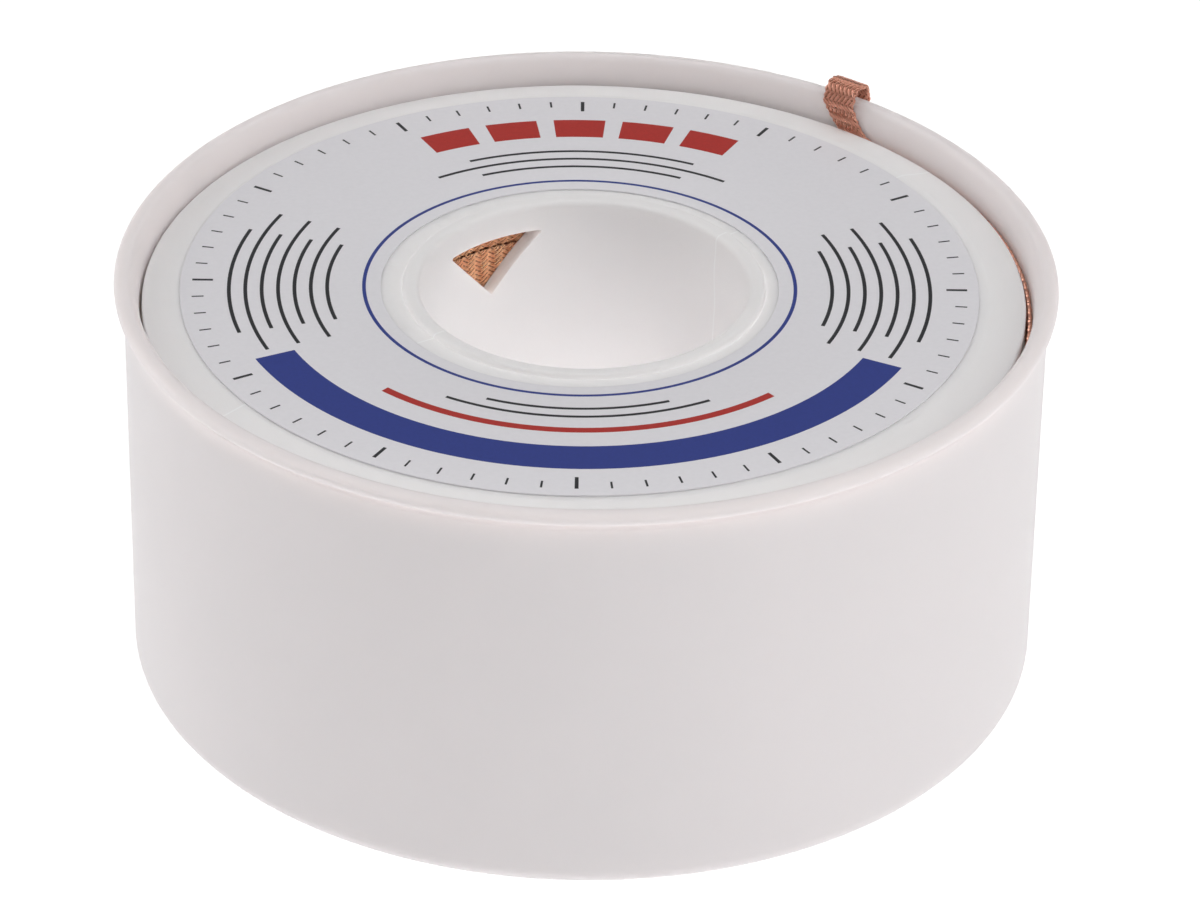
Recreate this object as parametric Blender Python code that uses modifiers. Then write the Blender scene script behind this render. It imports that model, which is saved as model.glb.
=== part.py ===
"""A desoldering braid reel: a round white case, a flanged spool that turns in it, a ring label
on the spool's top flange, the copper braid wound on the hub and its loose end over the rim."""

import math

import bmesh
import bpy
from mathutils import Matrix, Vector

MM = 0.001

# Running and seating clearances
SEAT_GAP = 0.3 * MM
RIM_GAP = 0.4 * MM
WINDING_GAP = 0.2 * MM
BORE_GAP = 0.5 * MM
LABEL_GAP = 0.02 * MM
BRAID_GAP = 0.08 * MM

# Case: an open cup with a beaded rim, a floor and a collar that the spool turns on
CASE_HEIGHT = 29.1 * MM
LIP_RADIUS = 31.75 * MM
CASE_RADIUS = 31.1 * MM
CASE_DRAFT = 0.1 * MM
WALL = 1.0 * MM
FLOOR = 1.2 * MM
BASE_FILLET = 1.4 * MM
LIP_CREST_INSET = 0.9 * MM
LIP_EDGE_DROP = 0.5 * MM
LIP_UNDERSIDE_DROP = 0.92 * MM
LIP_NECK = 0.12 * MM
LIP_NECK_HEIGHT = 0.7 * MM
LIP_INNER_DROP = 2.1 * MM
LIP_BEAD_START = -25
LIP_SLOPE_END = 112
COLLAR_HEIGHT = 6.0 * MM
COLLAR_WALL = 1.2 * MM

# Spool: a hub with a bore, two flanges and a window through the hub's wall
SPOOL_SHIFT = -0.15 * MM
FLANGE_SET_DOWN = 1.5 * MM
FLANGE_THICKNESS = 1.3 * MM
FLANGE_EDGE_DROP = 0.65 * MM
FLANGE_SLOPE_WIDTH = 2.4 * MM
FLANGE_EDGE_ROUND = 0.2 * MM
LOWER_FLANGE_THICKNESS = 1.2 * MM
HUB_WALL = 1.0 * MM
BORE_RADIUS = 11.2 * MM
BORE_FILLET = 0.9 * MM
WINDOW_ANGLE = math.radians(124.7)
WINDOW_WIDTH = 7.3 * MM
WINDOW_HEIGHT = 4.1 * MM
WINDOW_BELOW_FLANGE = 0.55 * MM

# Label: a thin ring on the top flange
LABEL_INNER_RADIUS = 13.4 * MM
LABEL_OUTER_RADIUS = 26.9 * MM
LABEL_THICKNESS = 0.1 * MM
LABEL_SHIFT = -0.3 * MM

# Braid: a flat copper strip, wound in turns that lie side by side. Its loose end leaves the
# winding, runs round the case's wall under the flange and hooks over the rim
BRAID_WIDTH = 2.7 * MM
BRAID_THICKNESS = 0.32 * MM
WINDING_RADIUS = 25.9 * MM
TURN_GROOVE = 0.25 * MM
TURN_FLAT = 0.8
TAIL_ANGLE = math.radians(54.0)
TAIL_GAP_ANGLE = math.radians(51.3)
TAIL_LEAVE_ANGLE = math.radians(-75.0)
TAIL_TURN_ANGLE = math.radians(28.0)
TAIL_LEAVE_DROP = 7.7 * MM
TAIL_RUN_DROP = 0.55 * MM
TAIL_STAND = 0.2 * MM
TAIL_DROP = 0.9 * MM

TURN_STEPS = 72
ARC_STEPS = 5
RUN_STEPS = 14


def srgb(hex_code):
    """A hex colour as linear RGBA."""
    levels = [int(hex_code[i : i + 2], 16) / 255 for i in (0, 2, 4)]
    linear = [c / 12.92 if c <= 0.04045 else ((c + 0.055) / 1.055) ** 2.4 for c in levels]
    return (*linear, 1.0)


def make_material(name, colour, roughness, metallic=0.0):
    material = bpy.data.materials.new(name)
    material.use_nodes = True
    shader = material.node_tree.nodes["Principled BSDF"]
    shader.inputs["Base Color"].default_value = srgb(colour)
    shader.inputs["Roughness"].default_value = roughness
    shader.inputs["Metallic"].default_value = metallic
    return material


def clear_scene():
    for obj in list(bpy.data.objects):
        bpy.data.objects.remove(obj)


def new_collection(name):
    collection = bpy.data.collections.new(name)
    bpy.context.scene.collection.children.link(collection)
    return collection


def arc(centre, radii, start, end, steps=ARC_STEPS):
    """Points on an ellipse about centre, from the angle start to the angle end, in degrees."""
    points = []
    for i in range(steps + 1):
        angle = math.radians(start + (end - start) * i / steps)
        across = centre[0] + radii[0] * math.cos(angle)
        points.append((across, centre[1] + radii[1] * math.sin(angle)))
    return points


def circle(centre, radius, start, end, steps=ARC_STEPS):
    return arc(centre, (radius, radius), start, end, steps)


def add_object(name, mesh, collection, material, location=(0, 0, 0)):
    obj = bpy.data.objects.new(name, mesh)
    obj.location = location
    collection.objects.link(obj)
    if material:
        mesh.materials.append(material)
    return obj


def turned(name, profile, collection, material, location=(0, 0, 0)):
    """A closed outline of (radius, height) points, turned about Z."""
    mesh = bpy.data.meshes.new(name)
    vertices = [(r, 0.0, z) for r, z in profile]
    edges = [(i, (i + 1) % len(profile)) for i in range(len(profile))]
    mesh.from_pydata(vertices, edges, [])
    obj = add_object(name, mesh, collection, material, location)
    screw = obj.modifiers.new("Turn", "SCREW")
    screw.axis = "Z"
    screw.angle = math.tau
    screw.steps = TURN_STEPS
    screw.render_steps = TURN_STEPS
    screw.use_merge_vertices = True
    screw.merge_threshold = 0.00001
    screw.use_smooth_shade = True
    return obj


# Heights and radii that several pieces share
INNER_RADIUS = CASE_RADIUS - WALL
FLANGE_RADIUS = INNER_RADIUS - RIM_GAP
FLANGE_TOP = CASE_HEIGHT - FLANGE_SET_DOWN
FLANGE_UNDERSIDE = FLANGE_TOP - FLANGE_THICKNESS
SPOOL_BOTTOM = FLOOR + SEAT_GAP
LOWER_FLANGE_TOP = SPOOL_BOTTOM + LOWER_FLANGE_THICKNESS
HUB_RADIUS = BORE_RADIUS + HUB_WALL
INNER_FILLET = BASE_FILLET - WALL
INNER_BASE_RADIUS = INNER_RADIUS - CASE_DRAFT
LOWER_FLANGE_RADIUS = INNER_BASE_RADIUS - INNER_FILLET


def make_case(collection, material):
    """The cup, from the rim's crest down the outside, under the floor and up the inside."""
    crest_radius = LIP_RADIUS - LIP_CREST_INSET
    edge_z = CASE_HEIGHT - LIP_EDGE_DROP
    neck_radius = CASE_RADIUS - LIP_NECK
    underside = LIP_UNDERSIDE_DROP - LIP_EDGE_DROP
    base_radius = CASE_RADIUS - CASE_DRAFT
    collar_radius = BORE_RADIUS - BORE_GAP
    hole_radius = collar_radius - COLLAR_WALL
    profile = arc((crest_radius, edge_z), (LIP_CREST_INSET, LIP_EDGE_DROP), 90, 0, 4)
    profile += arc((neck_radius, edge_z), (LIP_RADIUS - neck_radius, underside), LIP_BEAD_START, -90, 3)
    profile += [(CASE_RADIUS, edge_z - underside - LIP_NECK_HEIGHT)]
    profile += circle((base_radius - BASE_FILLET, BASE_FILLET), BASE_FILLET, 0, -90)
    profile += [
        (hole_radius, 0),
        (hole_radius, COLLAR_HEIGHT),
        (collar_radius, COLLAR_HEIGHT),
        (collar_radius, FLOOR),
    ]
    corner = (INNER_BASE_RADIUS - INNER_FILLET, FLOOR + INNER_FILLET)
    profile += circle(corner, INNER_FILLET, -90, 0, 4)
    slope = (crest_radius - INNER_RADIUS, LIP_INNER_DROP)
    profile += arc((crest_radius, CASE_HEIGHT - LIP_INNER_DROP), slope, 180, LIP_SLOPE_END, 3)
    return turned("case", profile, collection, material)


def make_window_cutter(collection):
    """A triangular prism that points down and reaches through one side of the hub."""
    mesh = bpy.data.meshes.new("window_cutter")
    shape = bmesh.new()
    depth = BORE_RADIUS + HUB_WALL
    side = 1 / math.sqrt(3)
    bmesh.ops.create_cone(shape, cap_ends=True, segments=3, radius1=side, radius2=side, depth=depth)
    # The unit triangle's first corner points along +Y: it's turned down and set to the window's size
    size = Matrix.Diagonal((WINDOW_WIDTH, WINDOW_HEIGHT / (math.sqrt(3) / 2), 1, 1))
    stand = Matrix.Rotation(math.radians(90), 4, "X")
    shape.transform(stand @ size @ Matrix.Rotation(math.pi, 4, "Z"))
    top = max(v.co.z for v in shape.verts)
    shape.transform(Matrix.Translation((0, 0, -top)))
    shape.to_mesh(mesh)
    shape.free()
    cutter = add_object("window_cutter", mesh, collection, None)
    middle = BORE_RADIUS + HUB_WALL / 2
    cutter.location = (
        SPOOL_SHIFT + middle * math.cos(WINDOW_ANGLE),
        middle * math.sin(WINDOW_ANGLE),
        FLANGE_UNDERSIDE - WINDOW_BELOW_FLANGE,
    )
    cutter.rotation_euler = (0, 0, WINDOW_ANGLE - math.pi / 2)
    cutter.hide_render = True
    cutter.display_type = "WIRE"
    return cutter


def make_spool(collection, cutters, material):
    """The hub and its flanges, from the top flange's edge down the outside and up the bore."""
    slope_start = FLANGE_RADIUS - FLANGE_SLOPE_WIDTH
    edge_top = FLANGE_TOP - FLANGE_EDGE_DROP
    rounding = FLANGE_EDGE_ROUND
    profile = [(slope_start, FLANGE_TOP)]
    profile += circle((FLANGE_RADIUS - rounding, edge_top - rounding), rounding, 75, 0, 2)
    profile += [
        (FLANGE_RADIUS, FLANGE_UNDERSIDE),
        (HUB_RADIUS, FLANGE_UNDERSIDE),
        (HUB_RADIUS, LOWER_FLANGE_TOP),
        (LOWER_FLANGE_RADIUS, LOWER_FLANGE_TOP),
        (LOWER_FLANGE_RADIUS, SPOOL_BOTTOM),
        (BORE_RADIUS, SPOOL_BOTTOM),
    ]
    mouth = (BORE_RADIUS + BORE_FILLET, FLANGE_TOP - BORE_FILLET)
    profile += circle(mouth, BORE_FILLET, 180, 90)
    spool = turned("spool", profile, collection, material, (SPOOL_SHIFT, 0, 0))
    cut = spool.modifiers.new("Window", "BOOLEAN")
    cut.operation = "DIFFERENCE"
    cut.object = make_window_cutter(cutters)
    return spool


def make_label(collection, material):
    """A flat ring, a label's thickness high."""
    low = FLANGE_TOP + LABEL_GAP
    high = low + LABEL_THICKNESS
    profile = [
        (LABEL_OUTER_RADIUS, high),
        (LABEL_OUTER_RADIUS, low),
        (LABEL_INNER_RADIUS, low),
        (LABEL_INNER_RADIUS, high),
    ]
    return turned("label", profile, collection, material, (SPOOL_SHIFT + LABEL_SHIFT, 0, 0))


def make_winding(collection, material):
    """The wound braid as one turned body, grooved where one turn's edge meets the next."""
    top = FLANGE_UNDERSIDE - WINDING_GAP
    bottom = LOWER_FLANGE_TOP + WINDING_GAP
    turns = max(1, round((top - bottom) / BRAID_WIDTH))
    pitch = (top - bottom) / turns
    inner = HUB_RADIUS + WINDING_GAP
    outer = [(WINDING_RADIUS - TURN_GROOVE, top)]
    for turn in range(turns):
        middle = top - (turn + 0.5) * pitch
        outer.append((WINDING_RADIUS, middle + pitch * TURN_FLAT / 2))
        outer.append((WINDING_RADIUS, middle - pitch * TURN_FLAT / 2))
        outer.append((WINDING_RADIUS - TURN_GROOVE, middle - pitch / 2))
    profile = outer + [(inner, bottom), (inner, top)]
    return turned("braid_winding", profile, collection, material, (SPOOL_SHIFT, 0, 0))


def tail_path():
    """The loose end's middle line as (radius, height, turn, tilt): off the winding along its
    tangent, round the wall under the flange, up through the gap and over the rim."""
    half = BRAID_THICKNESS / 2
    wall_line = INNER_RADIUS * math.cos(math.pi / TURN_STEPS) - BRAID_GAP - half
    winding_line = WINDING_RADIUS + WINDING_GAP + half
    outer_line = LIP_RADIUS + BRAID_GAP + half
    run_height = FLANGE_UNDERSIDE - BRAID_WIDTH / 2 - WINDING_GAP - TAIL_RUN_DROP
    on_edge = math.pi / 2
    path = []
    for i in range(RUN_STEPS):
        share = i / RUN_STEPS
        lead = (TAIL_TURN_ANGLE - TAIL_LEAVE_ANGLE) * share
        off_winding = winding_line < wall_line * math.cos(lead)
        radius = winding_line / math.cos(lead) if off_winding else wall_line
        height = run_height - TAIL_LEAVE_DROP * (1 - share) ** 2
        path.append((radius, height, TAIL_LEAVE_ANGLE + lead, on_edge))
    rise = CASE_HEIGHT - LIP_INNER_DROP - run_height
    for i in range(ARC_STEPS + 1):
        share = i / ARC_STEPS
        turn = TAIL_TURN_ANGLE + (TAIL_GAP_ANGLE - TAIL_TURN_ANGLE) * share
        path.append((wall_line, run_height + rise * share**2, turn, on_edge * (1 - share)))
    loop_radius = (outer_line - wall_line - TAIL_STAND) / 2
    centre = (outer_line - loop_radius, CASE_HEIGHT + BRAID_GAP)
    path.append((centre[0] - loop_radius, CASE_HEIGHT - LIP_EDGE_DROP, TAIL_ANGLE, 0))
    for r, z in circle(centre, loop_radius, 180, 0, 2 * ARC_STEPS):
        path.append((r, z, TAIL_ANGLE, 0))
    path.append((outer_line, CASE_HEIGHT - LIP_EDGE_DROP - TAIL_DROP, TAIL_ANGLE, 0))
    return path


def make_tail(collection, material):
    """The loose end: the path drawn out to the braid's width, then given its thickness."""
    mesh = bpy.data.meshes.new("braid_tail")
    shape = bmesh.new()
    path = tail_path()
    line = [shape.verts.new((0, 0, row[1])) for row in path]
    edges = [shape.edges.new(pair) for pair in zip(line, line[1:])]
    made = bmesh.ops.extrude_edge_only(shape, edges=edges)["geom"]
    far = [v for v in made if isinstance(v, bmesh.types.BMVert)]
    for near, (r, z, turn, tilt) in zip(line, path):
        opposite = next(e.other_vert(near) for e in near.link_edges if e.other_vert(near) in far)
        middle = Vector((r * math.cos(turn), r * math.sin(turn), z))
        level = Vector((-math.sin(turn), math.cos(turn), 0)) * math.cos(tilt)
        along = (level - Vector((0, 0, math.sin(tilt)))) * BRAID_WIDTH / 2
        near.co = middle - along
        opposite.co = middle + along
    bmesh.ops.recalc_face_normals(shape, faces=shape.faces)
    shape.to_mesh(mesh)
    shape.free()
    tail = add_object("braid_tail", mesh, collection, material)
    solid = tail.modifiers.new("Thickness", "SOLIDIFY")
    solid.thickness = BRAID_THICKNESS
    solid.offset = 0
    solid.use_even_offset = True
    return tail


def main():
    clear_scene()
    parts = new_collection("desoldering_braid_reel")
    cutters = new_collection("cutters")
    plastic = make_material("white_plastic", "E4E1DA", 0.45)
    spool_plastic = make_material("white_spool_plastic", "E2DFD9", 0.4)
    paper = make_material("grey_white_label", "C9C8CC", 0.5)
    copper = make_material("copper_braid", "B9785C", 0.35, 1.0)
    make_case(parts, plastic)
    make_spool(parts, cutters, spool_plastic)
    make_label(parts, paper)
    make_winding(parts, copper)
    make_tail(parts, copper)


main()
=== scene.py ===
"""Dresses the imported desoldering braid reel: the moulded case and spool, the printed label ring,
the plaited copper wire, and a pale studio. Lengths are in metres, in the reel's frame."""

import math
import random

import bmesh
import bpy
from bpy.props import FloatProperty, IntProperty, PointerProperty, StringProperty
from mathutils import Matrix, Quaternion, Vector


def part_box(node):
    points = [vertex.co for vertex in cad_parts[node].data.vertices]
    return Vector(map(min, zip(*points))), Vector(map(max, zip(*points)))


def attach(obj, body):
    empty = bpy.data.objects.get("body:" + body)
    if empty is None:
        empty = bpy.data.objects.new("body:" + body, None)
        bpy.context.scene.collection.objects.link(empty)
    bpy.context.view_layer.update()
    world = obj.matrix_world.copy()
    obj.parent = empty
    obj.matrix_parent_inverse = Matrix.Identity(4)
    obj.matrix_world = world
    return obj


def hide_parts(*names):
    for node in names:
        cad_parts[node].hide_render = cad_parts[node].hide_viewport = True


bl_info = {
    "name": "Desoldering Braid Reel",
    "version": (1, 0, 0),
    "blender": (4, 5, 0),
    "location": "3D View > Sidebar > Braid Reel",
    "description": "Builds a desoldering braid reel around its CAD frame",
    "category": "Object",
}

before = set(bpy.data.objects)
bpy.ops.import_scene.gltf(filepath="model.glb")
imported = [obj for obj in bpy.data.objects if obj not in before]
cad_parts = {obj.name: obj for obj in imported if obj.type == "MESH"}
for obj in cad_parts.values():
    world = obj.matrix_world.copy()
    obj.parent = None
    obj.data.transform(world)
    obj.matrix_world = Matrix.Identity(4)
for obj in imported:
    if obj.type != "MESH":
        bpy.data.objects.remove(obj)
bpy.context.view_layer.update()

MM = 0.001
CASE_LOW, CASE_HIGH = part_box("case")
SPOOL_LOW, SPOOL_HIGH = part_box("spool")
LABEL_LOW, LABEL_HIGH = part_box("label")
WINDING_LOW, WINDING_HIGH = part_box("braid_winding")
SPOOL_X = (SPOOL_LOW.x + SPOOL_HIGH.x) / 2
LABEL_X = (LABEL_LOW.x + LABEL_HIGH.x) / 2

# Steps round a turned piece, and steps along a rounded corner of its outline
TURN_STEPS = 256
CORNER_STEPS = 8
SHARP_ANGLE = math.radians(35)
# Points along a wire, and rings along a modelled strip, for each length that a strand stays on top
POINTS_ON_TOP = 6
POINTS_ON_STRIP = 5
# Corners round the flux film, and the distance between its rings
FILM_CORNERS = 24
FILM_STEP = 0.25 * MM
# Dull sheen of the mould's finish on the case, and the smoother one on the spool
CASE_ROUGHNESS = 0.42
SPOOL_ROUGHNESS = 0.38
# Where the melt's two fronts met in the spool
WELD_TURN = math.radians(36.2)
# From one ridge of the wound braid's drawn plait to the next
RIDGE_STEP = 0.35 * MM


def length(name, description, millimetres):
    """A length property, with its default given in millimetres."""
    return FloatProperty(
        name=name,
        description=description,
        default=millimetres * MM,
        subtype="DISTANCE",
        unit="LENGTH",
        precision=5,
    )


def hex_colour(name, description, default):
    """An sRGB colour property, written as six hex digits."""
    return StringProperty(name=name, description=description, default=default, maxlen=6)


class BraidReelCase(bpy.types.PropertyGroup):
    rim_radius: length("Rim radius", "Outer edge of the beaded rim", CASE_HIGH.x / MM)
    height: length("Height", "From the underside to the rim's crest", CASE_HIGH.z / MM)
    wall_radius: length("Wall radius", "Outside of the wall, under the rim", 31.1)
    draft: length("Draft", "How much narrower the wall is at the base", 0.1)
    wall: length("Wall", "Thickness of the wall", 1.0)
    floor: length("Floor", "Thickness of the floor", 1.2)
    base_fillet: length("Base fillet", "Rounding between wall and underside", 1.4)
    crest_inset: length("Crest inset", "From the rim's outer edge in to its crest", 0.9)
    edge_drop: length("Edge drop", "From the crest down to the outer edge", 0.5)
    underside_drop: length("Bead drop", "From the crest down to the bead's underside", 0.92)
    neck: length("Neck", "Depth of the groove under the bead", 0.12)
    neck_height: length("Neck height", "Height of the groove under the bead", 0.7)
    inner_drop: length("Inner slope", "Height of the slope inside the rim", 2.1)
    collar_radius: length("Collar radius", "Outside of the collar in the hub", 10.7)
    collar_wall: length("Collar wall", "Thickness of the collar", 1.2)
    collar_height: length("Collar height", "Top of the collar", 6.0)
    colour: hex_colour("Colour", "Body colour of the case", "EEE8E9")
    light_reach: length("Light reach", "How far light goes in the plastic", 1.5)


class BraidReelSpool(bpy.types.PropertyGroup):
    flange_radius: length("Flange radius", "Edge of the top flange", 29.76)
    flange_thickness: length("Flange thickness", "Top flange at the label", 1.3)
    edge_drop: length("Edge drop", "Fall from the label's plane to the flange's edge", 0.45)
    slope_width: length("Slope width", "Width of the sloping rim of the flange", 2.4)
    edge_round: length("Edge rounding", "Rounding of the flange's edge", 0.2)
    lower_radius: length("Lower flange radius", "Edge of the lower flange", 28.4)
    lower_thickness: length("Lower flange thickness", "Thickness of the lower flange", 1.2)
    hub_wall: length("Hub wall", "Thickness of the hub", 1.1)
    bore_radius: length("Bore radius", "Inside of the hub", 11.1)
    bore_fillet: length("Bore fillet", "Rounding of the bore's mouth", 0.1)
    bead_radius: length("Bead radius", "Outer edge of the bead round the bore's mouth", 12.28)
    bead_height: length("Bead height", "How far the bead stands over the flange", 0.3)
    window_angle: FloatProperty(
        name="Window angle",
        description="Where the triangular window is, round the hub",
        default=math.radians(125.1),
        subtype="ANGLE",
        unit="ROTATION",
    )
    window_width: length("Window width", "Top edge of the triangular window", 7.65)
    window_height: length("Window height", "From the top edge to the lower corner", 4.3)
    window_drop: length("Window drop", "From the flange's underside to the window", 0.35)
    window_corner: length("Window corner", "Rounding of the window's corners", 0.12)
    colour: hex_colour("Colour", "Body colour of the spool", "F8F6F6")
    light_reach: length("Light reach", "How far light goes in the plastic", 0.7)


class BraidReelLabel(bpy.types.PropertyGroup):
    inner_radius: length("Inner radius", "Hole of the label ring", 13.4)
    outer_radius: length(
        "Outer radius", "Edge of the label ring", (LABEL_HIGH.x - LABEL_LOW.x) / 2 / MM
    )
    ink_height: length("Ink height", "How far the print stands off the label", 0.006)
    stock_colour: hex_colour("Stock colour", "Colour of the bare label", "EEECF0")
    blue: hex_colour("Blue ink", "Colour of the band", "2C3E94")
    red: hex_colour("Red ink", "Colour of the accents", "C03028")
    black: hex_colour("Black ink", "Colour of the fine rules", "26262A")


class BraidReelCopper(bpy.types.PropertyGroup):
    width: length("Braid width", "Width of the flat braid", 2.7)
    wire_radius: length("Wire radius", "Half a wire's thickness", 0.036)
    wire_pitch: length("Wire pitch", "From one wire to the next in a strand", 0.066)
    tube_half: length("Tube depth", "From the flat braid's middle to its strands", 0.08)
    lift: length("Lift", "How far a strand rises over another", 0.05)
    crown: length("Crown", "How far a strand's middle wires stand over its outer ones", 0.045)
    strands: IntProperty(
        name="Strands", description="Strands that run each way round the braid", default=16
    )
    wires: IntProperty(name="Wires", description="Wires in a strand", default=3)
    angle: FloatProperty(
        name="Braid angle",
        description="Between a strand and the braid's length",
        default=math.radians(33),
        subtype="ANGLE",
        unit="ROTATION",
    )
    winding_radius: length("Winding radius", "Outside of the wound braid", 25.9)
    groove: length("Turn groove", "Depth of the groove between turns", 0.25)
    flux_level: length("Flux level", "From the strands' middle up to the flux between them", 0.02)
    flux: hex_colour("Flux", "Colour of the dried flux", "C08062")
    bright: hex_colour("Bright copper", "Colour of the clean wire", "FFC8B2")
    dull: hex_colour("Dull copper", "Colour of the wire where it has darkened", "DC9A82")
    # Painted highlight: the copper at the window is a lighter copy of the braid's copper, standing
    # in for the light its turns catch there.
    window_highlight_copper: hex_colour("Window copper, painted highlight", "Colour of the clean wire on the winding", "FFDCB2")
    window_dull_highlight_copper: hex_colour("Dark patches of the highlight copper", "Colour of its darker patches", "FFB48A")


class BraidReelStudio(bpy.types.PropertyGroup):
    lens: length("Lens", "Focal length on a 36 mm sensor", 183.99)
    distance: length("Camera distance", "From the rim's centre to the camera", 412.8)
    elevation: FloatProperty(
        name="Elevation",
        description="Of the camera above the rim",
        default=math.radians(29.72),
        subtype="ANGLE",
        unit="ROTATION",
    )
    roll: FloatProperty(
        name="Roll",
        description="Of the camera about its own axis",
        default=math.radians(0.887),
        subtype="ANGLE",
        unit="ROTATION",
    )
    sky: FloatProperty(
        name="Sky", description="Strength of the even white surroundings", default=0.15
    )
    table: FloatProperty(
        name="Table light", description="Strength of the light through the table", default=0.8
    )
    lamp: FloatProperty(
        name="Lamp", description="How much stronger that light is under the reel", default=1.0
    )
    floor_colour: hex_colour("Floor colour", "Colour of the pale floor", "AEAEAE")


def settings(name):
    """One of the reel's groups of values."""
    return getattr(bpy.context.scene, "braid_reel_" + name)


def srgb(digits):
    """Six hex digits of an sRGB colour as linear RGBA."""
    levels = [int(digits[i : i + 2], 16) / 255 for i in (0, 2, 4)]
    linear = [c / 12.92 if c <= 0.04045 else ((c + 0.055) / 1.055) ** 2.4 for c in levels]
    return (*linear, 1.0)


# Materials


def new_material(name):
    """A node material, its shader and its node tree."""
    material = bpy.data.materials.new(name)
    material.use_nodes = True
    return material, material.node_tree.nodes["Principled BSDF"], material.node_tree


def add_node(tree, kind, inputs=None, **options):
    """A shader node with its options set, and its inputs set or linked."""
    node = tree.nodes.new(kind)
    for option, value in options.items():
        setattr(node, option, value)
    for socket, value in (inputs or {}).items():
        if isinstance(value, bpy.types.NodeSocket):
            tree.links.new(value, node.inputs[socket])
        else:
            node.inputs[socket].default_value = value
    return node


def maths(tree, operation, *values):
    """The result of a math node on numbers or other nodes' results."""
    inputs = dict(enumerate(values))
    return add_node(tree, "ShaderNodeMath", inputs, operation=operation).outputs[0]


def blend(tree, factor, first, second):
    """A colour that goes from the first to the second as the factor goes from 0 to 1."""
    inputs = {"Factor": factor, "A": first, "B": second}
    return add_node(tree, "ShaderNodeMix", inputs, data_type="RGBA").outputs["Result"]


def noise(tree, place, size, detail=2.0):
    """A noise from 0 to 1, whose patches are about one size across."""
    inputs = {"Vector": place, "Scale": 1 / size, "Detail": detail}
    return add_node(tree, "ShaderNodeTexNoise", inputs).outputs["Fac"]


def moulded_polypropylene(name, colour, roughness, light_reach, weld_turn=None):
    """Polypropylene, injection moulded: milky white that lets light through, with a soft sheen."""
    material, shader, tree = new_material(name)
    place = add_node(tree, "ShaderNodeTexCoord").outputs["Object"]
    # Flow of the melt leaves tones some 9 mm across, too faint to see but for the sheen
    flow = noise(tree, place, 9.0909 * MM, 3.0)
    # Specks of dust a quarter of a millimetre across lie some 8 mm apart, and most cells stay clean
    cells = add_node(tree, "ShaderNodeTexVoronoi", {"Vector": place, "Scale": 1 / (8 * MM)})
    near = maths(tree, "LESS_THAN", cells.outputs["Distance"], 0.016)
    chosen = add_node(tree, "ShaderNodeSeparateColor", {"Color": cells.outputs["Color"]})
    kept = maths(tree, "GREATER_THAN", chosen.outputs["Red"], 0.72)
    speck = maths(tree, "MULTIPLY", near, kept)
    tone = blend(tree, flow, srgb(colour), srgb(shade(colour, 0.985)))
    # The mould's finish is a fine grain, drawn at half a millimetre so that it shows
    height = noise(tree, place, 0.5 * MM)
    if weld_turn is not None:
        line = weld_ridge_and_highlight(tree, place, weld_turn)
        # Painted highlight: the weld line is painted white, as if its ridge caught the light; the
        # same mask raises the ridge in the bump.
        tone = blend(tree, line, tone, srgb("FFFFFF"))
        height = maths(tree, "MULTIPLY_ADD", line, 2.0, height)
    dusty = blend(tree, speck, tone, srgb("6E6A66"))
    sheen = add_node(
        tree,
        "ShaderNodeMapRange",
        {"Value": flow, "To Min": roughness - 0.04, "To Max": roughness + 0.05},
    )
    bump = add_node(
        tree, "ShaderNodeBump", {"Height": height, "Strength": 0.08, "Distance": 0.02 * MM}
    )
    tree.links.new(dusty, shader.inputs["Base Color"])
    tree.links.new(sheen.outputs["Result"], shader.inputs["Roughness"])
    tree.links.new(bump.outputs["Normal"], shader.inputs["Normal"])
    shader.inputs["IOR"].default_value = 1.49
    # The walls are thin and the light goes only a little way, so the quick method is enough
    shader.subsurface_method = "BURLEY"
    shader.inputs["Subsurface Weight"].default_value = 1.0
    shader.inputs["Subsurface Scale"].default_value = light_reach
    shader.inputs["Subsurface Radius"].default_value = (1.0, 0.93, 0.88)
    return material


def weld_ridge_and_highlight(tree, place, turn):
    """A mask, 1 on the hair line where the melt's two fronts met, across the piece's axis. It
    raises the weld's ridge and paints a highlight along it.
    """
    across = add_node(
        tree,
        "ShaderNodeVectorMath",
        {0: place, 1: (-math.sin(turn), math.cos(turn), 0)},
        operation="DOT_PRODUCT",
    ).outputs["Value"]
    wander = noise(tree, place, 6 * MM)
    drift = maths(tree, "MULTIPLY_ADD", wander, 0.8 * MM, across)
    size = maths(tree, "ABSOLUTE", maths(tree, "SUBTRACT", drift, 0.4 * MM))
    # The line is a tenth of a millimetre wide
    return add_node(
        tree,
        "ShaderNodeMapRange",
        {"Value": size, "From Max": 0.1 * MM, "To Min": 1.0, "To Max": 0.0},
    ).outputs["Result"]


def shade(colour, share):
    """An sRGB colour with each level made a share of what it was."""
    levels = [int(colour[i : i + 2], 16) for i in (0, 2, 4)]
    return "".join(f"{round(level * share):02X}" for level in levels)


def coated_label_paper(name, colour):
    """Label paper, clay coated: a cool grey white with a fine fibre and a slight gloss."""
    material, shader, tree = new_material(name)
    place = add_node(tree, "ShaderNodeTexCoord").outputs["Object"]
    # Fibre clumps are a third of a millimetre across
    fibre = noise(tree, place, 0.35 * MM, 4.0)
    tone = blend(tree, fibre, srgb(colour), srgb(shade(colour, 0.97)))
    bump = add_node(
        tree, "ShaderNodeBump", {"Height": fibre, "Strength": 0.1, "Distance": 0.01 * MM}
    )
    tree.links.new(tone, shader.inputs["Base Color"])
    tree.links.new(bump.outputs["Normal"], shader.inputs["Normal"])
    shader.inputs["Roughness"].default_value = 0.42
    shader.inputs["IOR"].default_value = 1.5
    return material


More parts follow.
